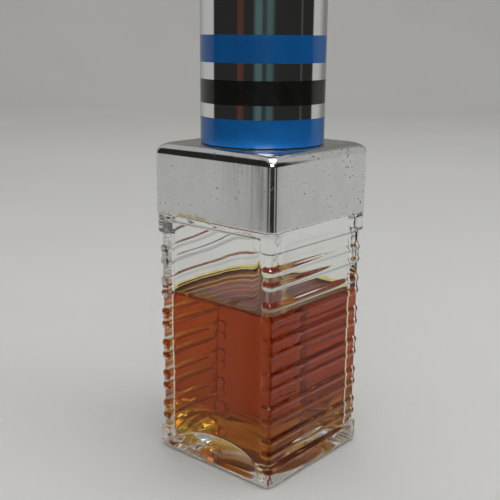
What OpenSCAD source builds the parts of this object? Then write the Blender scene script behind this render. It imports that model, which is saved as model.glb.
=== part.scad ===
// Square splash bottle for aftershave: ribbed glass body, plated shoulder cover and a
// tall round screw cap with three coloured bands. Millimetres, +Z up.
// The origin is the middle of the base. The smooth faces look along -Y and +Y, the ribbed
// faces along -X and +X.

/* [Glass bottle] */
// Outside width of the square bands at the foot and at the top of the glass
bottle_w = 40; // [38:0.5:42]
// Corner radius of those bands, seen from above
corner_r = 2.05; // [1.9:0.05:3]
// Height of the glass up to the ledge that the shoulder cover stands on
glass_h = 66.7; // [66:0.1:68]
// Height of the foot band
foot_band_h = 6; // [5:0.1:7]
// Height of the band under the ledge
top_band_h = 5.2; // [4:0.1:5.5]
// How far the grooves and the smooth panels lie behind the bands
recess = 1.05; // [0.8:0.05:1.2]
// Thickness of the glass behind a groove
wall = 1.8; // [1.6:0.05:2.6]
// Height of the middle of the floor inside the bottle
floor_top_z = 7.4; // [7:0.1:8.5]
// Height of the aftershave's surface
fill_z = 45.3; // [20:0.1:60]

/* [Ribs] */
// Number of pairs of ribs on each ribbed face
rib_pairs = 6; // [1:1:6]
// Distance from one pair to the next
pair_pitch = 8.9; // [8:0.1:8.9]
// Distance between the two ribs of a pair
rib_gap = 3.45; // [3:0.05:3.6]
// Height of the uppermost rib's centre
top_rib_z = 57; // [56:0.1:57.5]
// How far a rib stands out of the grooves
rib_h = 0.55; // [0.3:0.05:0.8]
// Radius of a rib's rounded crest
rib_r = 1.3; // [1.1:0.05:1.5]
// How far a rib runs onto the smooth face before its end curves in
rib_end = 1; // [0.5:0.1:2.5]

/* [Neck] */
// Outside diameter of the thread
thread_d = 17.9; // [17.5:0.05:18]
// Outside diameter of the neck under the thread
neck_d = 15.8; // [15.6:0.05:16]
// Diameter of the bore
bore_d = 10.4; // [10:0.1:10.8]
// Thread pitch, eight turns to the inch
pitch = 3.175; // [3:0.005:3.2]
// Turns of thread
thread_turns = 1.5; // [1:0.25:1.75]
// Height of the glass rim
rim_z = 99.2; // [98.5:0.1:99.5]
// Diameter of the hole in the pouring insert
pour_d = 6.4; // [5:0.1:7]

/* [Shoulder cover] */
// Height of the cover
cover_h = 18.5; // [17.5:0.1:18.8]
// Corner radius, seen from above
cover_corner_r = 1.6; // [1:0.1:2.4]
// Radius of the rounding along the top edges
cover_edge_r = 2.6; // [1.5:0.1:3]
// Wall thickness
cover_t = 1.3; // [1.1:0.05:1.4]

/* [Cap] */
// Outside diameter of the cap
cap_d = 32.12; // [31:0.1:34]
// Length of the cap
cap_l = 49; // [45:0.5:60]
// Wall thickness of the cap's shell
cap_t = 0.9; // [0.8:0.05:1.2]
// Rounding of the cap's top edge
cap_edge_r = 1.2; // [0.8:0.1:2]
// Depth of the coloured bands
band_t = 0.3; // [0.2:0.05:0.4]
// Where the lower blue band ends, above the cap's lower edge
band_1_top = 6.75; // [5:0.05:8]
// Where the black band starts and ends
band_2 = [10.2, 16.1];
// Where the upper blue band starts and ends
band_3 = [20.2, 26.8];

/* [Hidden] */
$fn = 96;

half_w = bottle_w / 2;
groove_half = half_w - recess;     // smooth panels and the bottoms of the grooves
rib_half = groove_half + rib_h;    // crests of the ribs
corner_c = half_w - corner_r;      // the vertical corners turn about this point
cavity_half = groove_half - wall;
cavity_corner_r = 2.5;
foot_edge_r = 1.4;
band_edge_r = 0.7;
lip_h = 1.7;                       // band left above and below a smooth panel
pair_pad = 0.25;                   // glass left between the ribs of a pair
rib_turn = 1.5;                    // plan radius of a rib's inturned end
floor_flat_r = 8;                  // the floor is level this far out, then falls away
floor_round_r = 23.3;
punt_r = 15.5;                     // hollow under the foot
punt_h = 1.5;

shoulder_half = half_w - cover_t - 0.3;
shoulder_corner_r = 2.5;
shoulder_z = 67.5;                 // where the sloping shoulder leaves the corners
shoulder_top_z = 79.5;
cavity_top_z = 78.5;
bead_r = 10;                       // bead that the cover grips
bead_z = [80.5, 83.5];

cover_top_z = glass_h + cover_h;
cap_z = cover_top_z + 0.3;         // lower edge of the cap
cap_r = cap_d / 2;
cap_bore_r = cap_r - cap_t;
cap_top_z = cap_z + cap_l;

thread_w = [1.9, 0.9];             // width of the glass thread at its root and its crest
thread_z = cap_z + 4;
cap_thread_w = [1.6, 0.7];
cap_thread_r = 8.15;               // crest of the cap's own thread
socket_r = 9.2;
socket_wall = 1.6;
insert_flange_t = 0.8;
insert_flange_r = 7.5;
insert_depth = 7;
liner_gap = 0.15;
liner_t = 1.2;
liner_r = 9.12;
liner_z = rim_z + insert_flange_t + liner_gap;
inner_z = cap_z + 0.5;             // lower edge of the threaded inner piece
inner_roof_z = liner_z + liner_t + 0.1;
inner_roof_t = 1.5;
flange_t = 1.2;
fins = 8;
fin_t = 1.2;
skin = 0.4;                        // how deep a thread is rooted in its wall

// ---- shapes shared by several pieces ----

module rounded_square(half, r) {
    square([2 * half, 2 * (half - r)], center = true);
    square([2 * (half - r), 2 * half], center = true);
    for (sx = [-1, 1], sy = [-1, 1])
        translate([sx * (half - r), sy * (half - r)]) circle(r);
}

module prism(half, r, z0, z1) {
    translate([0, 0, z0]) linear_extrude(z1 - z0) rounded_square(half, r);
}

module tube(r_out, r_in, z0, z1) {
    translate([0, 0, z0]) difference() {
        cylinder(r = r_out, h = z1 - z0);
        translate([0, 0, -1]) cylinder(r = r_in, h = z1 - z0 + 2);
    }
}

function ring_points(i, steps, turns, r_root, r_crest, w, z0) =
    let (
        a = 360 * turns * i / steps,
        lead = max(0.1, min(1, min(i, steps - i) / 4)),
        crest = r_root + (r_crest - r_root) * lead,
        z = z0 + pitch * a / 360
    )
    [
        [r_root * cos(a), r_root * sin(a), z - w[0] / 2],
        [crest * cos(a), crest * sin(a), z - w[1] / 2],
        [crest * cos(a), crest * sin(a), z + w[1] / 2],
        [r_root * cos(a), r_root * sin(a), z + w[0] / 2]
    ];

// One right-hand helical ridge from radius r_root to r_crest; its ends run into the wall.
module thread(r_root, r_crest, w, z0, turns) {
    steps = round(36 * turns);
    points = [for (i = [0 : steps]) each ring_points(i, steps, turns, r_root, r_crest, w, z0)];
    outward = r_crest > r_root;
    sides = [
        for (i = [0 : steps - 1], k = [0 : 3])
            let (a = 4 * i + k, b = 4 * i + (k + 1) % 4, face = [a, b, b + 4, a + 4])
            outward ? face : [for (j = [3 : -1 : 0]) face[j]]
    ];
    first = [3, 2, 1, 0];
    last = [for (k = [0 : 3]) 4 * steps + k];
    ends = outward ? [first, last] : [[for (j = [3 : -1 : 0]) first[j]], [for (j = [3 : -1 : 0]) last[j]]];
    polyhedron(points = points, faces = concat(sides, ends), convexity = 6);
}

// ---- glass bottle ----

// Radial section of the ribbed wall from a given inner edge, with x = 0 at x0.
module wall_section(inner, x0) {
    translate([-x0, 0]) {
        translate([inner, 0]) square([groove_half - inner, glass_h]);
        for (k = [0 : rib_pairs - 1]) {
            upper = top_rib_z - k * pair_pitch;
            translate([inner, upper - rib_gap]) square([groove_half + pair_pad - inner, rib_gap]);
            for (z = [upper, upper - rib_gap]) translate([rib_half - rib_r, z]) circle(rib_r);
        }
        band_section(inner, 0, foot_band_h);
        band_section(inner, glass_h - top_band_h, glass_h);
    }
}

// A band with rounded edges, rounder at the foot than elsewhere; its ledge stays sharp.
module band_section(inner, z0, z1) {
    low_r = z0 == 0 ? foot_edge_r : band_edge_r;
    high_r = z1 == glass_h ? 0.2 : band_edge_r;
    translate([inner, z0]) square([half_w - low_r - inner, z1 - z0]);
    translate([inner, z0 + low_r]) square([half_w - inner, z1 - z0 - low_r - high_r]);
    translate([half_w - low_r, z0 + low_r]) circle(low_r);
    translate([inner, z1 - high_r - 0.1]) square([half_w - high_r - inner, high_r + 0.1]);
    translate([half_w - high_r, z1 - high_r]) circle(high_r);
}

// The foot is trimmed to the same rounding all the way in.
module foot_trim(x0) {
    translate([-x0, 0]) difference() {
        translate([half_w - foot_edge_r, -1]) square([foot_edge_r + 1, foot_edge_r + 1]);
        translate([half_w - foot_edge_r, foot_edge_r]) circle(foot_edge_r);
    }
}

module ribbed_section(inner, x0) {
    difference() {
        intersection() {
            wall_section(inner, x0);
            translate([inner - x0, 0]) square([half_w, glass_h]);
        }
        foot_trim(x0);
    }
}

module lip_section() {
    intersection() {
        union() {
            band_section(groove_half - 2, 0, foot_band_h);
            band_section(groove_half - 2, glass_h - top_band_h, glass_h);
        }
        union() {
            square([half_w + 1, lip_h]);
            translate([0, glass_h - lip_h]) square([half_w + 1, lip_h]);
        }
    }
}

// Turns a section in the XY plane into a wall that faces +X and runs along Y.
module run_along_y(y0, y1) {
    translate([0, y1, 0]) rotate([90, 0, 0]) linear_extrude(y1 - y0) children();
}

module ribbed_face() {
    run_along_y(-corner_c, corner_c) ribbed_section(corner_c - 6, 0);
}

// A vertical corner with the start of the smooth face, where the ribs end.
module ribbed_corner() {
    translate([corner_c, corner_c, 0]) {
        rotate_extrude(angle = 90) ribbed_section(corner_c, corner_c);
    }
    rotate([0, 0, 90]) run_along_y(-corner_c, -corner_c + rib_end) ribbed_section(corner_c - 2, 0);
    translate([corner_c - rib_end, rib_half - rib_turn, 0]) rotate([0, 0, 90])
        rotate_extrude(angle = 90) ribbed_section(rib_half - rib_turn, rib_half - rib_turn);
}

module smooth_face_lips() {
    rotate([0, 0, 90]) run_along_y(-corner_c, corner_c) lip_section();
}

module glass_outside() {
    difference() {
        translate([-corner_c, -groove_half, 0]) cube([2 * corner_c, 2 * groove_half, glass_h]);
        for (s = [0, 180]) rotate([0, 0, s + 90])
            run_along_y(-half_w, half_w) translate([groove_half - half_w, 0]) foot_trim(0);
    }
    for (s = [0, 180]) rotate([0, 0, s]) {
        ribbed_face();
        smooth_face_lips();
        ribbed_corner();
        mirror([0, 1, 0]) ribbed_corner();
    }
}

module shoulder_outside() {
    intersection() {
        prism(shoulder_half, shoulder_corner_r, glass_h - 1, shoulder_top_z);
        rotate_extrude() polygon([
            [0, glass_h - 2], [26, glass_h - 2], [26, shoulder_z], [bead_r - 1, shoulder_top_z],
            [0, shoulder_top_z]
        ]);
    }
}

module neck_outside() {
    translate([0, 0, shoulder_top_z - 3]) cylinder(d = neck_d, h = rim_z - shoulder_top_z + 3);
    translate([0, 0, shoulder_top_z - 2]) cylinder(r = bead_r - 1, h = bead_z[0] - shoulder_top_z + 3);
    translate([0, 0, bead_z[0]]) cylinder(r = bead_r, h = bead_z[1] - bead_z[0]);
    thread(neck_d / 2 - skin, thread_d / 2, thread_w, thread_z, thread_turns);
}

// Everything inside the glass up to where the bore starts.
module cavity() {
    difference() {
        intersection() {
            prism(cavity_half, cavity_corner_r, 1, cavity_top_z);
            rotate_extrude() polygon([
                [0, 0], [26, 0], [26, glass_h - 2.7], [bore_d / 2, cavity_top_z], [0, cavity_top_z]
            ]);
        }
        rotate_extrude() intersection() {
            union() {
                square([floor_flat_r, floor_top_z]);
                translate([floor_flat_r, floor_top_z - floor_round_r]) circle(floor_round_r);
            }
            square([bottle_w, glass_h]);
        }
    }
}

module punt() {
    ball_r = (punt_r * punt_r + punt_h * punt_h) / (2 * punt_h);
    translate([0, 0, punt_h - ball_r]) sphere(ball_r);
}

module glass_bottle() {
    color("azure", 0.4) difference() {
        union() {
            glass_outside();
            shoulder_outside();
            neck_outside();
        }
        cavity();
        punt();
        translate([0, 0, cavity_top_z - 1]) cylinder(d = bore_d, h = rim_z - cavity_top_z + 2);
    }
}

module aftershave() {
    color("sienna") intersection() {
        cavity();
        translate([-half_w, -half_w, 0]) cube([bottle_w, bottle_w, fill_z]);
    }
}

module pour_insert() {
    color("white") difference() {
        union() {
            translate([0, 0, rim_z]) cylinder(r = insert_flange_r, h = insert_flange_t);
            translate([0, 0, rim_z - insert_depth]) cylinder(d = bore_d, h = insert_depth + 0.1);
        }
        translate([0, 0, rim_z - insert_depth - 1]) cylinder(d = pour_d, h = insert_depth + 3);
    }
}

// ---- shoulder cover ----

// Section of the cover with its two rounded upper edges, standing on the ledge.
module cover_section() {
    straight_h = cover_h - cover_edge_r;
    translate([-half_w, 0]) square([bottle_w, straight_h]);
    translate([-half_w + cover_edge_r, 0]) square([bottle_w - 2 * cover_edge_r, cover_h]);
    for (s = [-1, 1]) translate([s * (half_w - cover_edge_r), straight_h]) circle(cover_edge_r);
}

module shoulder_cover() {
    color("silver") difference() {
        union() {
            difference() {
                intersection() {
                    prism(half_w, cover_corner_r, glass_h, cover_top_z);
                    for_both_ways() translate([0, 0, glass_h]) rotate([90, 0, 0])
                        linear_extrude(bottle_w + 2, center = true) cover_section();
                }
                prism(half_w - cover_t, 1, glass_h - 1, cover_top_z - cover_t);
            }
            translate([0, 0, bead_z[0] - 0.5]) cylinder(r = bead_r + 1.2, h = cover_top_z - bead_z[0]);
        }
        translate([0, 0, bead_z[0] - 2]) cylinder(r = bead_r, h = cover_top_z - cover_t - bead_z[0] + 2);
        translate([0, 0, glass_h]) cylinder(r = socket_r + 0.1, h = cover_h + 1);
    }
}

// The common part of a shape and the same shape turned a quarter.
module for_both_ways() {
    intersection() {
        children();
        rotate([0, 0, 90]) children();
    }
}

// ---- cap ----

module cap_liner() {
    color("ivory") translate([0, 0, liner_z]) cylinder(r = liner_r, h = liner_t);
}

module cap_inner() {
    color("dimgray") {
        difference() {
            union() {
                translate([0, 0, inner_z]) cylinder(r = socket_r + socket_wall, h = inner_roof_z - inner_z);
                translate([0, 0, inner_z]) cylinder(r = cap_bore_r, h = flange_t);
                translate([0, 0, inner_roof_z]) cylinder(r = cap_bore_r, h = inner_roof_t);
                intersection() {
                    translate([0, 0, inner_z]) cylinder(r = cap_bore_r, h = inner_roof_z - inner_z);
                    for (k = [0 : fins - 1]) rotate([0, 0, k * 360 / fins])
                        translate([socket_r + 1, -fin_t / 2, inner_z])
                            cube([cap_r - socket_r, fin_t, inner_roof_z - inner_z]);
                }
            }
            translate([0, 0, inner_z - 1]) cylinder(r = socket_r, h = inner_roof_z - inner_z + 1);
        }
        thread(socket_r + skin, cap_thread_r, cap_thread_w, thread_z + pitch / 2, thread_turns - 0.25);
    }
}

module cap_shell() {
    color("gainsboro") difference() {
        union() {
            translate([0, 0, cap_z]) cylinder(r = cap_r, h = cap_l - cap_edge_r);
            translate([0, 0, cap_z]) cylinder(r = cap_r - cap_edge_r, h = cap_l);
            translate([0, 0, cap_top_z - cap_edge_r])
                rotate_extrude() translate([cap_r - cap_edge_r, 0]) circle(cap_edge_r);
        }
        translate([0, 0, cap_z - 1]) cylinder(r = cap_bore_r, h = cap_l - cap_t + 0.7);
        groove(-1, band_1_top);
        groove(band_2[0], band_2[1]);
        groove(band_3[0], band_3[1]);
    }
}

module groove(from, to) {
    tube(cap_r + 1, cap_r - band_t, cap_z + from, cap_z + to);
}

module band(from, to) {
    tube(cap_r, cap_r - band_t, cap_z + from, cap_z + to);
}

module lower_blue_band() {
    color("steelblue") band(0, band_1_top);
}

module black_band() {
    color("black") band(band_2[0], band_2[1]);
}

module upper_blue_band() {
    color("steelblue") band(band_3[0], band_3[1]);
}

glass_bottle();
aftershave();
pour_insert();
shoulder_cover();
cap_liner();
cap_inner();
cap_shell();
lower_blue_band();
black_band();
upper_blue_band();
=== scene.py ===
import math

import bpy
from mathutils import Matrix, Vector, noise


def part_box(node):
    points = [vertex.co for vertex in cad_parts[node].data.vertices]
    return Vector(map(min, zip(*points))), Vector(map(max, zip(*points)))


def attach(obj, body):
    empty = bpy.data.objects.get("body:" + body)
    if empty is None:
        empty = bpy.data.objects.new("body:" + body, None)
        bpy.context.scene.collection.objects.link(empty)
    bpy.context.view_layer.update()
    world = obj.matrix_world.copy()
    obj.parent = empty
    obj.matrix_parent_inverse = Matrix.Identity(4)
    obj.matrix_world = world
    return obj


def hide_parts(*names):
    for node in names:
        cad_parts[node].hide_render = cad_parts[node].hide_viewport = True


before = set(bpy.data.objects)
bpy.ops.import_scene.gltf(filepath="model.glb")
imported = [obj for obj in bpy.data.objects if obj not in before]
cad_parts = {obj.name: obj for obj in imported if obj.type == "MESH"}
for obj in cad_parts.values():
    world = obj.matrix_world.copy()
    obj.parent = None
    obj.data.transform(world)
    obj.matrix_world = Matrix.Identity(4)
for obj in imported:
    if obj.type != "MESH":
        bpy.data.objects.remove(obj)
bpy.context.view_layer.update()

MM = 0.001

# ---------------------------------------------------------------- dimensions, in metres
GLASS_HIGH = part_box("glass_bottle")[1]
COVER_LOW, COVER_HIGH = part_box("shoulder_cover")
CAP_LOW, CAP_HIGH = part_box("cap_shell")
HALF_W = GLASS_HIGH.x
SEAM_Z = COVER_LOW.z
COVER_Z = COVER_HIGH.z
RIM_Z = GLASS_HIGH.z
FILL_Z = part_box("aftershave")[1].z
CAP_R = CAP_HIGH.x
BAND_T = 0.3 * MM

# Outside of the glass: vertical corners, grooves, ribs, bands and the hollow foot
CORNER_C = HALF_W - 2.05 * MM
GROOVE_HALF = HALF_W - 1.05 * MM
RIB_H = 0.55 * MM
RIB_HALF = GROOVE_HALF + RIB_H
RIB_R = 1.3 * MM
RIB_PAIRS, PAIR_PITCH, RIB_GAP, TOP_RIB_Z = 6, 8.9 * MM, 3.45 * MM, 57 * MM
PAIR_PAD = 0.25 * MM
RIB_END_X = CORNER_C - 0.8 * MM
RIB_TURN = 1.3 * MM
FOOT_BAND, TOP_BAND = 6 * MM, SEAM_Z - 5.2 * MM
LIP = 1.7 * MM
FOOT_R, BAND_R = 1.4 * MM, 0.7 * MM
PUNT_R, PUNT_H = 15.5 * MM, 1.5 * MM

# Inside of the glass: squarish outline, swollen walls and a floor that falls away to them
CAVITY_HALF = GROOVE_HALF - 1.8 * MM
CORNER_POWER, WALL_SWELL = 15, 1.6 * MM
FLOOR_TOP_Z, FLOOR_FLAT_R, FLOOR_ROUND_R = 7.4 * MM, 8 * MM, 23.3 * MM
FLOOR_CORNER = 1.6 * MM

# Shoulder and neck
SHOULDER_HALF, SHOULDER_CORNER = HALF_W - 1.6 * MM, 2.5 * MM
SHOULDER_Z, SHOULDER_TOP_Z = 67.5 * MM, 79.5 * MM
CAVITY_CONE_Z, CAVITY_TOP_Z = SEAM_Z - 2.7 * MM, 78.5 * MM
BEAD_R, BEAD_Z0, BEAD_Z1 = 10 * MM, 80.5 * MM, 83.5 * MM
NECK_R, THREAD_R, BORE_R = 7.9 * MM, 8.95 * MM, 5.2 * MM
PITCH, THREAD_TURNS = 3.175 * MM, 1.5
THREAD_Z = COVER_Z + 4.3 * MM

# How far the liquid reaches into the glass, its raised edge and the film above it
OVERLAP, MENISCUS, FILM_H = 0.04 * MM, 0.5 * MM, 4 * MM
# Waves of the inner wall: their height, and how closely they follow each other
RIPPLE, RIPPLE_SCALE = 0.26 * MM, 70
# Cover and cap
COVER_CORNER, COVER_EDGE, COVER_WALL, COVER_HOLE = 1.6 * MM, 2.6 * MM, 1.3 * MM, 9.3 * MM
CAP_WALL, CAP_EDGE, CAP_ROOF = 0.9 * MM, 1.2 * MM, 1.2 * MM


# ---------------------------------------------------------------- mesh helpers
def make_object(name, verts, faces, body, crease=None):
    """A mesh piece; with a crease angle, edges that turn more sharply than that stay sharp."""
    mesh = bpy.data.meshes.new(name)
    mesh.from_pydata([tuple(v) for v in verts], [], faces)
    mesh.validate()
    mesh.polygons.foreach_set("use_smooth", [True] * len(mesh.polygons))
    if crease:
        mesh.set_sharp_from_angle(angle=math.radians(crease))
    obj = bpy.data.objects.new(name, mesh)
    bpy.context.scene.collection.objects.link(obj)
    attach(obj, body)
    return obj


def loft(rings, closed=False):
    """Vertices and faces of rings of equal count; a ring of one point is a pole."""
    verts, starts = [], []
    for ring in rings:
        starts.append(len(verts))
        verts.extend(ring)
    faces = []
    pairs = list(zip(range(len(rings) - 1), range(1, len(rings))))
    if closed:
        pairs.append((len(rings) - 1, 0))
    for a, b in pairs:
        n = max(len(rings[a]), len(rings[b]))
        for k in range(n):
            j = (k + 1) % n
            if len(rings[a]) == 1:
                faces.append((starts[a], starts[b] + j, starts[b] + k))
            elif len(rings[b]) == 1:
                faces.append((starts[a] + k, starts[a] + j, starts[b]))
            else:
                faces.append((starts[a] + k, starts[a] + j, starts[b] + j, starts[b] + k))
    return verts, faces


def smooth_max(a, b, soft):
    """The larger of two lengths, with a rounded changeover."""
    gap = (a - b) / soft
    if gap > 20:
        return a
    if gap < -20:
        return b
    return b + soft * math.log(1 + math.exp(gap))


def smooth_min(a, b, soft):
    return -smooth_max(-a, -b, soft)


def clamp(t):
    return min(1.0, max(0.0, t))


def spread(start, end, count):
    return [start + (end - start) * i / count for i in range(count)]


# ---------------------------------------------------------------- columns around a square
# A column is (face, along, turn): on a face, along runs from -1 to 1; on a corner, turn is
# the angle from 0 to 90 degrees. Faces 0 to 3 look along +X, +Y, -X and -Y.
def square_columns(plain, fine, corner):
    """Columns once round the outline. The smooth faces have fine ones near their ends, where
    the ribs' ends are."""
    fine_from = 0.88
    columns = []
    for face in range(4):
        smooth_face = face % 2 == 1
        if smooth_face:
            half = spread(-1, -fine_from, fine) + spread(-fine_from, 0, plain // 2 + 2)
            alongs = half + [0] + [-a for a in reversed(half[1:])]
        else:
            alongs = spread(-1, 1, plain)
        columns += [(face, a, None) for a in alongs]
        columns += [(face, 1, t) for t in spread(0, math.pi / 2, corner)]
    return columns


def square_point(column, half, radius, z):
    face, along, turn = column
    flat = half - radius
    if turn is None:
        x, y = half, along * flat
    else:
        x, y = flat + radius * math.cos(turn), flat + radius * math.sin(turn)
    c, s = ((1, 0), (0, 1), (-1, 0), (0, -1))[face]
    return Vector((x * c - y * s, x * s + y * c, z))


def narrowed(point, radius, soft):
    """The point moved in to a circle of that radius where it lies outside it."""
    flat = math.hypot(point.x, point.y)
    k = smooth_min(flat, radius, soft) / flat
    return Vector((point.x * k, point.y * k, point.z))


# ---------------------------------------------------------------- glass
def rib_level(z):
    """Half width of the ribbed wall at height z, without the bands."""
    level = GROOVE_HALF
    for pair in range(RIB_PAIRS):
        upper = TOP_RIB_Z - pair * PAIR_PITCH
        lower = upper - RIB_GAP
        if lower - 3 * MM < z < upper + 3 * MM:
            for centre in (upper, lower):
                inside = RIB_R ** 2 - (z - centre) ** 2
                if inside > 0:
                    level = max(level, RIB_HALF - RIB_R + math.sqrt(inside))
            if lower < z < upper:
                level = max(level, GROOVE_HALF + PAIR_PAD)
    return level


def softened(level_at, z, reach):
    """Average of a profile over a short height, which rounds its inner corners."""
    steps = 7
    return sum(level_at(z + reach * (i - (steps - 1) / 2) / steps) for i in range(steps)) / steps


def band_level(z):
    level = 0
    for low, high, low_r, high_r in (
        (0, FOOT_BAND, FOOT_R, BAND_R),
        (TOP_BAND, SEAM_Z, BAND_R, 0.2 * MM),
    ):
        if low <= z <= high:
            out = HALF_W
            if z < low + low_r:
                out -= low_r - math.sqrt(max(0, low_r ** 2 - (low + low_r - z) ** 2))
            if z > high - high_r:
                out -= high_r - math.sqrt(max(0, high_r ** 2 - (z - high + high_r) ** 2))
            level = max(level, out)
    return level


def wall_level(z):
    if z < FOOT_R:
        return band_level(z)
    return max(softened(rib_level, z, 0.5 * MM), band_level(z))


def glass_half(column, z):
    """Half width of the glass at a column and height: full ribs, or their rounded ends."""
    full = wall_level(z)
    face, along, turn = column
    if face % 2 == 0 or turn is not None:
        return full
    past_end = RIB_END_X - abs(along) * CORNER_C
    if past_end <= 0 or z < LIP or z > SEAM_Z - LIP:
        return full
    centre = RIB_HALF - RIB_TURN
    reach = (full - centre) ** 2 - past_end ** 2
    if reach <= 0:
        return GROOVE_HALF
    return min(full, max(GROOVE_HALF, centre + math.sqrt(reach)))


def outside_heights():
    heights = [FOOT_R * (1 - math.cos(a)) for a in spread(0, math.pi / 2, 8)]
    heights += spread(FOOT_R, FOOT_BAND - 0.8 * MM, 8)
    heights += spread(FOOT_BAND - 0.8 * MM, TOP_BAND, 250)
    heights += spread(TOP_BAND, TOP_BAND + 0.9 * MM, 8)
    heights += spread(TOP_BAND + 0.9 * MM, SEAM_Z - 0.2 * MM, 10)
    heights += [SEAM_Z - 0.2 * MM, SEAM_Z - 0.1 * MM, SEAM_Z]
    return heights


def ripple(point, scale, depth):
    """Slow wave of a moulded surface, positive outwards."""
    return depth * noise.noise(Vector(point) * scale)


def body_ring(columns, z):
    ring = []
    for column in columns:
        half = glass_half(column, z)
        ring.append(square_point(column, half, max(0.4 * MM, half - CORNER_C), z))
    return ring


def shoulder_ring(columns, z):
    t = clamp((z - SHOULDER_Z) / (SHOULDER_TOP_Z - SHOULDER_Z))
    cone = 26 * MM + (BEAD_R - 1 * MM - 26 * MM) * t
    return [
        narrowed(square_point(c, SHOULDER_HALF, SHOULDER_CORNER, z), cone, 0.4 * MM)
        for c in columns
    ]


def round_ring(columns, z, radius):
    return [narrowed(square_point(c, HALF_W, 3 * MM, z), radius, 0.001 * MM) for c in columns]


def thread_out(angle, z):
    """How far the thread stands out of the neck at an angle and height."""
    out = 0
    turns = angle / math.tau
    for lap in range(-1, 3):
        along = turns + lap
        if 0 <= along <= THREAD_TURNS:
            off = abs(z - THREAD_Z - PITCH * along)
            lead = clamp(min(along, THREAD_TURNS - along) * 9)
            flank = clamp((0.95 * MM - off) / (0.5 * MM))
            out = max(out, (THREAD_R - NECK_R) * lead * (3 - 2 * flank) * flank ** 2)
    return out


def neck_ring(columns, z):
    ring = round_ring(columns, z, NECK_R)
    made = []
    for point in ring:
        radius = NECK_R + thread_out(math.atan2(point.y, point.x) % math.tau, z)
        made.append(Vector((point.x, point.y, 0)) * (radius / NECK_R) + Vector((0, 0, z)))
    return made


def thickening(along):
    """Share of a wall's swelling at a distance from its middle: two walls of the blown glass
    are thicker there than near their corners."""
    return max(0, 1 - abs(along / (0.9 * CAVITY_HALF)) ** 2.7)


def cavity_wall(columns, z, grow=0.0):
    """Inner wall of the glass at a height, as a ring; grow moves it into the glass."""
    t = clamp((z - CAVITY_CONE_Z) / (CAVITY_TOP_Z - CAVITY_CONE_Z))
    cone = 26 * MM + (BORE_R - 26 * MM) * t
    swell = WALL_SWELL * (1 - 0.7 * clamp((z - FILL_Z) / (SEAM_Z - FILL_Z)) ** 2)
    ring = []
    for column in columns:
        point = square_point(column, CAVITY_HALF, CAVITY_HALF * 0.5, z)
        bulge = (abs(point.x) ** CORNER_POWER + abs(point.y) ** CORNER_POWER) ** (1 / CORNER_POWER)
        point.x *= (CAVITY_HALF + grow) / bulge
        point.y *= (CAVITY_HALF + grow) / bulge
        if point.x > abs(point.y):
            point.x -= swell * thickening(point.y)
        elif -point.y > abs(point.x):
            point.y += swell * thickening(point.x)
        point = narrowed(point, cone, 0.4 * MM)
        wave = ripple(point, RIPPLE_SCALE, RIPPLE) - 0.1 * MM
        k = 1 + wave / math.hypot(point.x, point.y)
        ring.append(Vector((point.x * k, point.y * k, z)))
    return ring


def floor_z(radius):
    past = max(0, radius - FLOOR_FLAT_R)
    return FLOOR_TOP_Z - FLOOR_ROUND_R + math.sqrt(FLOOR_ROUND_R ** 2 - past ** 2)


def cavity_rings(columns, top_z, grow=0.0):
    """Rings from the middle of the domed floor out and up the walls to top_z."""
    outline = cavity_wall(columns, 12 * MM, grow)
    rings = [[Vector((0, 0, FLOOR_TOP_Z - grow))]]
    for t in spread(0.06, 1, 24):
        ring = []
        for p in outline:
            radius = math.hypot(p.x, p.y)
            r = (radius - FLOOR_CORNER) * t
            ring.append(Vector((p.x * r / radius, p.y * r / radius, floor_z(r) - grow)))
        rings.append(ring)
    for a in spread(math.pi / 2, 0, 8) + [0]:
        ring = []
        for p in outline:
            radius = math.hypot(p.x, p.y)
            inset = FLOOR_CORNER * (1 - math.cos(a))
            r = radius - inset
            z = floor_z(radius - FLOOR_CORNER) + FLOOR_CORNER * (1 - math.sin(a)) - grow * math.sin(a)
            ring.append(Vector((p.x * r / radius, p.y * r / radius, z)))
        rings.append(ring)
    low = rings[-1]
    join_z = 12 * MM
    for t in spread(0, 1, 6)[1:]:
        ring = []
        for k, p in enumerate(low):
            q = outline[k]
            ring.append(Vector((p.x + (q.x - p.x) * t, p.y + (q.y - p.y) * t, p.z + (join_z - p.z) * t)))
        rings.append(ring)
    steps = max(2, round((top_z - join_z) / (1.2 * MM)))
    rings += [cavity_wall(columns, z, grow) for z in spread(join_z, top_z, steps) + [top_z]]
    return rings


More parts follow.
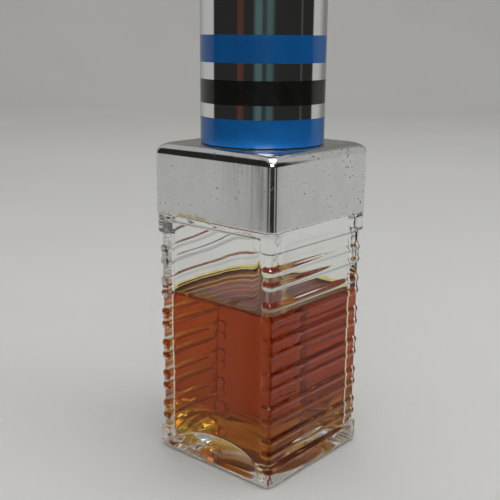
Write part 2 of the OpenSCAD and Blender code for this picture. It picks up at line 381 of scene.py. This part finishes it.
def glass_bottle():
    columns = square_columns(16, 18, 12)
    rings = [[Vector((0, 0, PUNT_H))]]
    ball = (PUNT_R ** 2 + PUNT_H ** 2) / (2 * PUNT_H)
    for t in spread(0.08, 1, 14) + [1]:
        r = PUNT_R * t
        rings.append(round_ring(columns, PUNT_H - ball + math.sqrt(ball ** 2 - r ** 2), r))
    rings.append(round_ring(columns, 0, PUNT_R + 0.3 * MM))
    rings.append([square_point(c, HALF_W - FOOT_R - 0.3 * MM, 1.3 * MM, 0) for c in columns])
    rings += [body_ring(columns, z) for z in outside_heights()]
    rings.append([square_point(c, SHOULDER_HALF + 0.1 * MM, SHOULDER_CORNER, SEAM_Z) for c in columns])
    rings += [shoulder_ring(columns, z) for z in spread(SEAM_Z + 0.1 * MM, SHOULDER_TOP_Z, 24)]
    rings.append(round_ring(columns, SHOULDER_TOP_Z, BEAD_R - 1 * MM))
    for a in spread(-math.pi / 2, math.pi / 2, 8) + [math.pi / 2]:
        edge = 0.4 * MM
        middle = BEAD_Z0 + edge if a < 0 else BEAD_Z1 - edge
        rings.append(round_ring(columns, middle + edge * math.sin(a), BEAD_R - edge + edge * math.cos(a)))
    rings += [neck_ring(columns, z) for z in spread(BEAD_Z1 + 0.1 * MM, RIM_Z - 1 * MM, 60)]
    for a in spread(0, math.pi, 10) + [math.pi]:
        middle, edge = (NECK_R + BORE_R) / 2, (NECK_R - BORE_R) / 2
        lift = 0.8 * MM * math.sin(a)
        rings.append(round_ring(columns, RIM_Z - 0.8 * MM + lift, middle + edge * math.cos(a)))
    rings += [round_ring(columns, z, BORE_R) for z in spread(RIM_Z - 1 * MM, CAVITY_TOP_Z, 8)]
    rings += reversed(cavity_rings(columns, CAVITY_TOP_Z - 0.2 * MM))
    verts, faces = loft(rings)
    piece = make_object("glass_body", verts, faces, "bottle")
    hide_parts("glass_bottle")
    piece.data.materials.append(glass_look())
    piece.data.materials.append(wet_glass_look())
    for face in piece.data.polygons:
        x, y, z = face.center
        if max(abs(x), abs(y)) < CAVITY_HALF + 0.3 * MM and PUNT_H < z < FILL_Z + FILM_H:
            face.material_index = 1
    return piece


def aftershave():
    columns = square_columns(16, 8, 12)
    rings = cavity_rings(columns, FILL_Z, OVERLAP)
    edge = rings[-1]
    for inset in (0.15, 0.35, 0.7, 1.2, 2):
        climb = MENISCUS * math.exp(-inset / 0.6) - MENISCUS
        ring = []
        for p in edge:
            r = math.hypot(p.x, p.y)
            k = (r - inset * MM) / r
            ring.append(Vector((p.x * k, p.y * k, FILL_Z + climb)))
        rings.append(ring)
    last = rings[-1]
    for t in (0.7, 0.4, 0.1):
        rings.append([Vector((p.x * t, p.y * t, FILL_Z - MENISCUS)) for p in last])
    rings.append([Vector((0, 0, FILL_Z - MENISCUS))])
    verts, faces = loft(rings)
    piece = make_object("aftershave_fill", verts, faces, "bottle")
    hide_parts("aftershave")
    return piece


# ---------------------------------------------------------------- cover
def shoulder_cover():
    columns = square_columns(8, 6, 14)
    corner, edge, wall, hole = COVER_CORNER, COVER_EDGE, COVER_WALL, COVER_HOLE
    rings = [[square_point(c, HALF_W - 0.15 * MM, corner, SEAM_Z) for c in columns]]
    for z in (0.04, 0.1, 0.2, 0.4):
        out = HALF_W - 0.15 * MM * math.exp(-z / 0.06)
        rings.append([square_point(c, out, corner, SEAM_Z + z * MM) for c in columns])
    side_top = COVER_Z - edge
    rings += [
        [square_point(c, HALF_W, corner, z) for c in columns]
        for z in spread(SEAM_Z + 1 * MM, side_top - 0.1 * MM, 8) + [side_top - 0.1 * MM]
    ]
    for a in spread(0, math.pi / 2, 18) + [math.pi / 2]:
        half = HALF_W - edge * (1 - math.cos(a))
        radius = corner + 1.9 * MM * (1 - math.cos(a))
        rings.append([square_point(c, half, radius, side_top + edge * math.sin(a)) for c in columns])
    flat_half = HALF_W - edge
    for inset in (0.15, 1, 3):
        rings.append([square_point(c, flat_half - inset * MM, corner + 1.9 * MM, COVER_Z) for c in columns])
    for out in (3, 0.6, 0.3):
        rings.append(round_ring(columns, COVER_Z, hole + out * MM))
    rings.append(round_ring(columns, COVER_Z - 0.25 * MM, hole))
    rings.append(round_ring(columns, COVER_Z - wall, hole))
    rings.append(round_ring(columns, COVER_Z - wall, BEAD_R))
    rings.append(round_ring(columns, BEAD_Z0 - 0.5 * MM, BEAD_R))
    rings.append(round_ring(columns, BEAD_Z0 - 0.5 * MM, BEAD_R + 1.2 * MM))
    rings.append(round_ring(columns, COVER_Z - wall, BEAD_R + 1.2 * MM))
    rings.append([square_point(c, HALF_W - wall, 1 * MM, COVER_Z - wall - 0.2 * MM) for c in columns])
    rings.append([square_point(c, HALF_W - wall, 1 * MM, SEAM_Z) for c in columns])
    verts, faces = loft(rings, closed=True)
    piece = make_object("cover_shell", verts, faces, "bottle")
    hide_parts("shoulder_cover")
    return piece


# ---------------------------------------------------------------- cap
def turned(name, profile, body, segments=256):
    """A turned piece from (radius, height) points; a radius of 0 is a pole."""
    rings = []
    for radius, z in profile:
        if radius == 0:
            rings.append([Vector((0, 0, z))])
        else:
            rings.append([
                Vector((radius * math.cos(a), radius * math.sin(a), z))
                for a in spread(0, math.tau, segments)
            ])
    verts, faces = loft(rings, closed=True)
    return make_object(name, verts, faces, body, crease=40)


def arc(centre, radius, start, end, steps):
    """Points on an arc of the profile, in degrees from straight out to straight up."""
    made = []
    for a in spread(math.radians(start), math.radians(end), steps) + [math.radians(end)]:
        made.append((centre[0] + radius * math.cos(a), centre[1] + radius * math.sin(a)))
    return made


def cap_shell():
    bore = CAP_R - CAP_WALL
    edge = CAP_EDGE
    groove = CAP_R - BAND_T
    bands = [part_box(n) for n in ("lower_blue_band", "black_band", "upper_blue_band")]
    profile = [(bore + 0.1 * MM, CAP_LOW.z), (groove, CAP_LOW.z)]
    for low, high in bands:
        if low.z > CAP_LOW.z + 1 * MM:
            profile += [(CAP_R, low.z), (groove, low.z)]
        profile += [(groove, high.z), (CAP_R, high.z)]
    profile += [(CAP_R, z) for z in spread(bands[-1][1].z + 1 * MM, CAP_HIGH.z - edge - 0.1 * MM, 4)]
    profile += arc((CAP_R - edge, CAP_HIGH.z - edge), edge, 0, 90, 14)
    profile += [(CAP_R - edge - 0.1 * MM, CAP_HIGH.z), (CAP_R * 0.5, CAP_HIGH.z), (0, CAP_HIGH.z)]
    roof = CAP_HIGH.z - CAP_ROOF
    profile += [(0, roof), (bore - 0.3 * MM, roof), (bore, roof - 0.3 * MM), (bore, CAP_LOW.z + 0.1 * MM)]
    piece = turned("cap_shell_skin", profile, "cap")
    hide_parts("cap_shell")
    return piece


def band(node, name):
    low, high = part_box(node)
    inner = CAP_R - BAND_T
    profile = [(inner, low.z)]
    profile += [(CAP_R, z) for z in spread(low.z, high.z, 4) + [high.z]]
    profile += [(inner, high.z)]
    piece = turned(name, profile, "cap")
    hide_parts(node)
    return piece


# ---------------------------------------------------------------- materials
class Look:
    """A material with a Principled shader and a few helpers for its node tree."""

    def __init__(self, name, **values):
        self.material = bpy.data.materials.new(name)
        self.material.use_nodes = True
        self.tree = self.material.node_tree
        self.shader = self.tree.nodes["Principled BSDF"]
        self.output = self.tree.nodes["Material Output"]
        for socket, value in values.items():
            self.shader.inputs[socket.replace("_", " ")].default_value = value

    def node(self, kind, links=None, **settings):
        made = self.tree.nodes.new(kind)
        for key, value in settings.items():
            setattr(made, key, value)
        for socket, source in (links or {}).items():
            self.feed(made.inputs[socket], source)
        return made

    def feed(self, socket, source):
        if hasattr(source, "links"):
            self.tree.links.new(source, socket)
        else:
            socket.default_value = source

    def place(self, scale=(1, 1, 1)):
        coordinates = self.node("ShaderNodeTexCoord")
        mapping = self.node("ShaderNodeMapping", {"Vector": coordinates.outputs["Object"]})
        mapping.inputs["Scale"].default_value = scale
        return mapping.outputs["Vector"]

    def noise(self, scale, detail=3.0, stretch=(1, 1, 1), rough=0.5):
        links = {"Vector": self.place(stretch), "Scale": scale, "Detail": detail, "Roughness": rough}
        return self.node("ShaderNodeTexNoise", links).outputs["Fac"]

    def ramp(self, factor, stops):
        made = self.node("ShaderNodeValToRGB", {"Fac": factor})
        elements = made.color_ramp.elements
        while len(elements) < len(stops):
            elements.new(0.5)
        for element, (position, colour) in zip(elements, stops):
            element.position = position
            element.color = colour if len(colour) == 4 else (*colour, 1)
        return made.outputs["Color"]

    def span(self, factor, low, high, to_low=0.0, to_high=1.0):
        links = {"Value": factor, "From Min": low, "From Max": high, "To Min": to_low, "To Max": to_high}
        return self.node("ShaderNodeMapRange", links).outputs["Result"]

    def mix(self, factor, a, b):
        made = self.node("ShaderNodeMix", data_type="RGBA")
        self.feed(made.inputs["Factor"], factor)
        self.feed(made.inputs["A"], a)
        self.feed(made.inputs["B"], b)
        return made.outputs["Result"]

    def calc(self, kind, a, b):
        made = self.node("ShaderNodeMath", operation=kind)
        self.feed(made.inputs[0], a)
        self.feed(made.inputs[1], b)
        return made.outputs["Value"]

    def bump(self, height, depth):
        made = self.node("ShaderNodeBump", {"Height": height, "Distance": depth, "Strength": 1.0})
        self.feed(self.shader.inputs["Normal"], made.outputs["Normal"])

    def set(self, socket, source):
        self.feed(self.shader.inputs[socket], source)


def grey(v):
    return (v, v, v, 1)


def glass_look():
    look = Look("clear_moulded_glass", IOR=1.5, Roughness=0.0, Transmission_Weight=1.0)
    look.set("Specular Tint", (0.28, 0.28, 0.28, 1))
    tones = [(0.3, (0.965, 0.985, 0.975)), (0.7, (0.985, 0.99, 0.985))]
    look.set("Base Color", look.ramp(look.noise(60), tones))
    look.bump(look.noise(140, 1.5), 0.00004)
    return look.material


def wet_glass_look():
    """The inner wall where liquid lies against it, which reflects next to nothing, and the
    yellow film that the liquid leaves just above its surface."""
    look = Look("wetted_glass_wall", IOR=1.5, Roughness=0.0, Transmission_Weight=1.0)
    look.set("Specular Tint", (0.03, 0.03, 0.03, 1))
    height_of = look.node("ShaderNodeSeparateXYZ", {"Vector": look.place()}).outputs["Z"]
    edge = look.calc("ADD", height_of, look.span(look.noise(240, 3), 0.3, 0.7, -0.5 * MM, 0.5 * MM))
    wet = look.ramp(look.noise(60), [(0.3, (0.99, 0.76, 0.16)), (0.7, (0.995, 0.78, 0.21))])
    film = look.ramp(look.span(edge, FILL_Z, FILL_Z + FILM_H), [
        (0.0, (0.72, 0.46, 0.04)), (0.22, (0.88, 0.7, 0.1)), (0.36, (0.96, 0.94, 0.88)),
        (1.0, (0.98, 0.98, 0.97)),
    ])
    look.set("Base Color", look.mix(look.span(height_of, FILL_Z - 0.2 * MM, FILL_Z), wet, film))
    return look.material


def liquid_look():
    """The liquid reflects next to nothing against the glass, and more at its open surface."""
    look = Look("amber_aftershave", IOR=1.36, Roughness=0.0, Transmission_Weight=1.0)
    height_of = look.node("ShaderNodeSeparateXYZ", {"Vector": look.place()}).outputs["Z"]
    top = look.span(height_of, FILL_Z - 0.8 * MM, FILL_Z - 0.6 * MM)
    look.set("Specular Tint", look.mix(top, grey(0.15), grey(1)))
    tones = [(0.3, (0.98, 0.97, 0.95)), (0.7, (0.99, 0.98, 0.97))]
    look.set("Base Color", look.ramp(look.noise(40), tones))
    volume = look.node("ShaderNodeVolumeAbsorption", {"Color": (0.865, 0.61, 0.15, 1), "Density": 185.0})
    look.tree.links.new(volume.outputs["Volume"], look.output.inputs["Volume"])
    return look.material


def chrome_look():
    """Worn bright plating: fine pits, dried splashes along one lower edge, a scuffed corner whose
    dark streaks grow towards the front corner and the top as a painted dark reflection, and a duller top."""
    look = Look("pitted_bright_plating")
    place = look.node("ShaderNodeSeparateXYZ", {"Vector": look.place()}).outputs
    cloud = look.noise(160, 4)
    streaks = look.noise(900, 3, (1, 1, 0.06))
    base = look.ramp(cloud, [(0.3, (0.75, 0.75, 0.74)), (0.7, (0.82, 0.82, 0.81))])
    # painted dark reflection: on the smooth face the base colour darkens in streaks towards the front
    # corner and the top; the streaks are wear, their growth towards the corner is painted shade
    front = look.span(place["Y"], -19 * MM, -19.8 * MM)
    scuff_and_dark_reflection = look.calc("MULTIPLY", look.span(place["X"], 2 * MM, 18 * MM), front)
    scuff_and_dark_reflection = look.calc("MULTIPLY", scuff_and_dark_reflection, look.span(place["Z"], 68 * MM, 83 * MM, 0.25, 1))
    scuff_and_dark_reflection = look.calc("MULTIPLY", scuff_and_dark_reflection, look.span(look.noise(520, 4, (1, 1, 0.05)), 0.4, 0.62, 0, 0.8))
    base = look.mix(scuff_and_dark_reflection, base, (0.16, 0.16, 0.16, 1))
    spots = look.calc("ADD", look.noise(1100, 3, rough=0.6), look.span(cloud, 0.35, 0.7, -0.04, 0.05))
    right = look.span(place["X"], 19 * MM, 19.8 * MM)
    crowd = look.calc("MULTIPLY", look.span(place["Y"], 2 * MM, 16 * MM), right)
    pits = look.span(look.calc("ADD", spots, look.calc("MULTIPLY", crowd, 0.045)), 0.655, 0.69)
    base = look.mix(pits, base, (0.2, 0.18, 0.15, 1))
    top = look.span(place["Z"], COVER_Z - 0.3 * MM, COVER_Z - 0.05 * MM)
    dull = look.calc("MULTIPLY", top, look.span(cloud, 0.3, 0.7, 0.25, 0.75))
    base = look.mix(dull, base, (0.5, 0.49, 0.44, 1))
    edge = look.calc("ADD", place["Z"], look.span(look.noise(420, 4), 0.35, 0.65, -0.9 * MM, 0.9 * MM))
    splash = look.span(edge, SEAM_Z + 0.9 * MM, SEAM_Z, 0, 0.8)
    splash = look.calc("MULTIPLY", splash, look.span(place["X"], 8 * MM, -4 * MM))
    splash = look.calc("MULTIPLY", splash, look.span(place["Y"], -18 * MM, -19.5 * MM))
    look.set("Base Color", look.mix(splash, base, (0.55, 0.47, 0.2, 1)))
    look.set("Metallic", look.span(splash, 0, 1, 1, 0.2))
    rough = look.calc("ADD", look.span(streaks, 0.4, 0.7, 0.04, 0.075), look.span(cloud, 0.3, 0.7, 0, 0.03))
    rough = look.calc("ADD", rough, look.calc("MULTIPLY", top, 0.16))
    rough = look.calc("ADD", rough, look.calc("MULTIPLY", look.calc("ADD", scuff_and_dark_reflection, splash), 0.2))
    look.set("Roughness", rough)
    look.bump(look.calc("SUBTRACT", look.calc("MULTIPLY", streaks, 0.15), pits), 0.00001)
    return look.material


def cap_look():
    look = Look("mirror_bright_metal", Metallic=1.0)
    cloud = look.noise(200, 3)
    look.set("Base Color", look.ramp(cloud, [(0.3, (0.86, 0.86, 0.845)), (0.7, (0.9, 0.9, 0.885))]))
    look.set("Roughness", look.span(look.noise(700, 4, (1, 1, 0.05)), 0.35, 0.7, 0.03, 0.07))
    return look.material


def lacquer_look(name, low, high, gloss):
    look = Look(name, Roughness=gloss, Specular_IOR_Level=0.35)
    look.set("Base Color", look.ramp(look.noise(260, 3), [(0.3, low), (0.7, high)]))
    look.bump(look.noise(900, 2), 0.000003)
    return look.material


def plastic_look(name, low, high, rough):
    look = Look(name)
    look.set("Base Color", look.ramp(look.noise(500, 4), [(0.3, low), (0.7, high)]))
    look.set("Roughness", look.span(look.noise(900, 3), 0.3, 0.7, rough - 0.06, rough + 0.08))
    look.bump(look.noise(2500, 2), 0.00001)
    return look.material


def dress(obj, material):
    obj.data.materials.clear()
    obj.data.materials.append(material)


# ---------------------------------------------------------------- studio
FLOOR_DROP = 0.02 * MM
WINDOW_STRENGTH = 60
CAMERA_AZIMUTH, CAMERA_PITCH, CAMERA_ROLL = 40.517, 14.132, 0.446


def floor_and_backdrop():
    """A pale floor that curves up into a wall all round: near and flat behind the bottle, where
    the camera looks, and far elsewhere."""
    behind, bend, height = 1.6, 0.5, 1.6
    heading = math.radians(40.5)
    rings = [[Vector((0, 0, 0))]]
    shape = [(0.15, 0), (0.4, 0), (0.8, 0), (1, 0)]
    for rise in spread(0, math.pi / 2, 24) + [math.pi / 2]:
        shape.append((1 + bend * math.sin(rise), bend - bend * math.cos(rise)))
    shape.append((1 + bend, height))
    for reach, z in shape:
        ring = []
        for turn in spread(0, math.tau, 144):
            wall = behind / max(0.45, math.cos(turn))
            out = (wall - bend) * min(reach, 1) + max(0, reach - 1)
            ring.append(Vector((-math.sin(heading - turn) * out, math.cos(heading - turn) * out, z)))
        rings.append(ring)
    verts, faces = loft(rings)
    verts = [v - Vector((0, 0, FLOOR_DROP)) for v in verts]
    mesh = bpy.data.meshes.new("studio_floor")
    mesh.from_pydata([tuple(v) for v in verts], [], faces)
    mesh.polygons.foreach_set("use_smooth", [True] * len(mesh.polygons))
    floor = bpy.data.objects.new("studio_floor", mesh)
    bpy.context.scene.collection.objects.link(floor)
    look = Look("pale_floor", Roughness=0.75)
    tones = [(0.3, (0.76, 0.755, 0.74)), (0.7, (0.8, 0.795, 0.78))]
    look.set("Base Color", look.ramp(look.noise(5, 2), tones))
    floor.data.materials.append(look.material)


def glowing_card(name, verts, faces, look, tone, strength=1.0):
    """A stage item that gives off the tone; it starts unseen by every kind of ray."""
    mesh = bpy.data.meshes.new(name)
    mesh.from_pydata([tuple(v) for v in verts], [], faces)
    card = bpy.data.objects.new(name, mesh)
    bpy.context.scene.collection.objects.link(card)
    look.tree.nodes.remove(look.shader)
    glow = look.node("ShaderNodeEmission", {"Color": tone, "Strength": strength})
    look.tree.links.new(glow.outputs["Emission"], look.output.inputs["Surface"])
    card.data.materials.append(look.material)
    card.visible_camera = False
    card.visible_diffuse = False
    card.visible_glossy = False
    card.visible_transmission = False
    card.visible_shadow = False
    card.visible_volume_scatter = False
    return card


def reflector():
    """A ring of card around the set that only mirror-like surfaces see: a table below, pale to
    the left and behind and dark with two grey patches elsewhere, a dark room above it with
    faint coloured lights and pale sides, and one bright window in front, too high for the cap
    to mirror."""
    radius, height, low = 0.26, 0.30, 0.002
    segments = 180
    verts, faces = [], []
    for k in range(segments + 1):
        a = math.tau * k / segments
        x, y = radius * math.sin(a), -radius * math.cos(a)
        verts += [(x, y, low), (x, y, height)]
    for k in range(segments):
        faces.append((2 * k, 2 * k + 2, 2 * k + 3, 2 * k + 1))
    look = Look("card_tones")
    split = look.node("ShaderNodeSeparateXYZ", {"Vector": look.place()})
    back = look.calc("MULTIPLY", split.outputs["Y"], -1.0)
    angle = look.calc("ARCTAN2", split.outputs["X"], back)
    turn = look.span(angle, -math.pi, math.pi)

    def at(degrees):
        return (degrees + 180) / 360

    light, dark = (0.43, 0.43, 0.42), (0.02, 0.02, 0.02)
    table = look.ramp(turn, [
        (at(-75), (0.46, 0.46, 0.45)), (at(-39), (0.45, 0.45, 0.44)), (at(-34), (0.36, 0.36, 0.36)),
        (at(-29), (0.16, 0.16, 0.16)), (at(-18), dark), (at(-12), dark), (at(-8), grey(0.28)),
        (at(12), grey(0.28)), (at(16), dark), (at(76), dark), (at(80), grey(0.28)),
        (at(100), grey(0.28)), (at(104), dark), (at(122), dark), (at(134), (0.46, 0.46, 0.45)),
        (at(150), (0.5, 0.5, 0.49)),
    ])
    room = look.ramp(turn, [
        (at(-130), (0.2, 0.2, 0.185)), (at(-85), light), (at(-59), light), (at(-56), dark),
        (at(-7), dark), (at(-4), (0.085, 0.032, 0.022)), (at(4), (0.06, 0.03, 0.025)),
        (at(8), dark), (at(22), dark), (at(28), (0.06, 0.11, 0.105)),
        (at(36), (0.06, 0.11, 0.105)), (at(39), (0.025, 0.035, 0.036)), (at(44), (0.025, 0.035, 0.036)),
        (at(47), (0.05, 0.09, 0.088)), (at(54), (0.05, 0.09, 0.088)), (at(60), dark), (at(107), dark),
        (at(110), (0.07, 0.07, 0.07)), (at(113), dark), (at(136), dark), (at(139), light),
        (at(155), light), (at(175), (0.2, 0.2, 0.185)),
    ])
    height_of = split.outputs["Z"]
    tone = look.mix(look.span(height_of, 0.051, 0.056), table, room)
    window = look.calc("MULTIPLY", look.span(turn, at(22), at(25)), look.span(turn, at(60), at(57)))
    window = look.calc("MULTIPLY", window, look.span(height_of, 0.165, 0.17))
    window = look.calc("MULTIPLY", window, look.span(height_of, 0.285, 0.28))
    tone = look.mix(window, tone, grey(1))
    strength = look.span(window, 0, 1, 1, WINDOW_STRENGTH)
    card = glowing_card("studio_card", verts, faces, look, tone, strength)
    card.visible_glossy = True


def dark_flags():
    """A dark ring above the glass that only rays through the glass see; it draws its edges."""
    radius, low, high = 0.27, 0.17, 0.42
    ring = [Vector((radius * math.cos(a), radius * math.sin(a), low)) for a in spread(0, math.tau, 96)]
    verts, faces = loft([ring, [v + Vector((0, 0, high - low)) for v in ring]])
    look = Look("flag_cloth")
    tone = look.ramp(look.noise(8, 2), [(0.3, grey(0.08)), (0.7, grey(0.2))])
    flags = glowing_card("studio_flags", verts, faces, look, tone)
    flags.visible_transmission = True


def glow_under_foot():
    """A pale square under the glass that only rays through the glass see: it stands for the
    light that the bottle gathers on the floor beneath it."""
    half = HALF_W - 1 * MM
    corners = [(-half, -half), (half, -half), (half, half), (-half, half)]
    verts = [(x, y, -FLOOR_DROP / 2) for x, y in corners]
    look = Look("glow_tone")
    tone = look.ramp(look.noise(90, 2), [(0.3, (0.4, 0.37, 0.3)), (0.7, (0.62, 0.58, 0.5))])
    glow = glowing_card("studio_glow", verts, [(0, 1, 2, 3)], look, tone)
    glow.visible_transmission = True


def area_light(name, place, aim, width, power):
    lamp = bpy.data.lights.new(name, "AREA")
    lamp.shape = "SQUARE"
    lamp.size = width
    lamp.energy = power
    obj = bpy.data.objects.new(name, lamp)
    obj.location = place
    obj.rotation_euler = (Vector(aim) - Vector(place)).to_track_quat("-Z", "Y").to_euler()
    bpy.context.scene.collection.objects.link(obj)


def studio_light():
    world = bpy.data.worlds.new("studio_air")
    world.use_nodes = True
    background = world.node_tree.nodes["Background"]
    background.inputs["Color"].default_value = (0.62, 0.62, 0.61, 1)
    background.inputs["Strength"].default_value = 0.7
    bpy.context.scene.world = world
    area_light("soft_top", (0.1, 0.05, 0.95), (0, 0, 0.05), 0.9, 2.7)
    area_light("soft_side", (0.75, 0.35, 0.55), (0, 0, 0.06), 0.6, 1.2)


def camera():
    """Camera that looks down on the bottle's corner from close by."""
    azimuth, pitch, roll = (math.radians(a) for a in (CAMERA_AZIMUTH, CAMERA_PITCH, CAMERA_ROLL))
    distance, aside, aim_z = 0.230126, -0.002982, 0.05609
    level_back = Vector((math.sin(azimuth), -math.cos(azimuth), 0))
    back = level_back * math.cos(pitch) + Vector((0, 0, math.sin(pitch)))
    level_right = Vector((math.cos(azimuth), math.sin(azimuth), 0))
    level_up = back.cross(level_right)
    right = level_right * math.cos(roll) + level_up * math.sin(roll)
    up = level_up * math.cos(roll) - level_right * math.sin(roll)
    data = bpy.data.cameras.new("camera")
    data.sensor_width, data.lens = 36, 61.5
    data.clip_start = 0.01
    obj = bpy.data.objects.new("camera", data)
    place = back * distance + level_right * aside + Vector((0, 0, aim_z))
    turn = Matrix((right, up, back)).transposed().to_4x4()
    obj.matrix_world = Matrix.Translation(place) @ turn
    bpy.context.scene.collection.objects.link(obj)
    bpy.context.scene.camera = obj


def render_quality():
    scene = bpy.context.scene
    scene.view_settings.view_transform = "Standard"
    scene.cycles.max_bounces = 24
    scene.cycles.transmission_bounces = 24
    scene.cycles.glossy_bounces = 12
    scene.cycles.transparent_max_bounces = 16
    scene.cycles.volume_bounces = 2
    scene.cycles.sample_clamp_indirect = 6
    scene.cycles.use_denoising = True


# ---------------------------------------------------------------- build
glass_bottle()
dress(aftershave(), liquid_look())
dress(shoulder_cover(), chrome_look())
dress(cap_shell(), cap_look())
blue = lacquer_look("blue_lacquer", (0.005, 0.092, 0.31), (0.007, 0.108, 0.35), 0.12)
black = lacquer_look("black_lacquer", (0.006, 0.006, 0.006), (0.012, 0.012, 0.011), 0.12)
dress(band("lower_blue_band", "lower_blue_ring"), blue)
dress(band("black_band", "black_ring"), black)
dress(band("upper_blue_band", "upper_blue_ring"), blue)
milky = plastic_look("milky_polyethylene", (0.72, 0.72, 0.68), (0.78, 0.78, 0.74), 0.42)
foam = plastic_look("foam_liner", (0.8, 0.79, 0.74), (0.86, 0.85, 0.8), 0.7)
moulded = plastic_look("black_polypropylene", (0.02, 0.02, 0.022), (0.03, 0.03, 0.032), 0.38)
dress(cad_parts["pour_insert"], milky)
dress(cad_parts["cap_liner"], foam)
dress(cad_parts["cap_inner"], moulded)

floor_and_backdrop()
reflector()
dark_flags()
glow_under_foot()
studio_light()
camera()
render_quality()
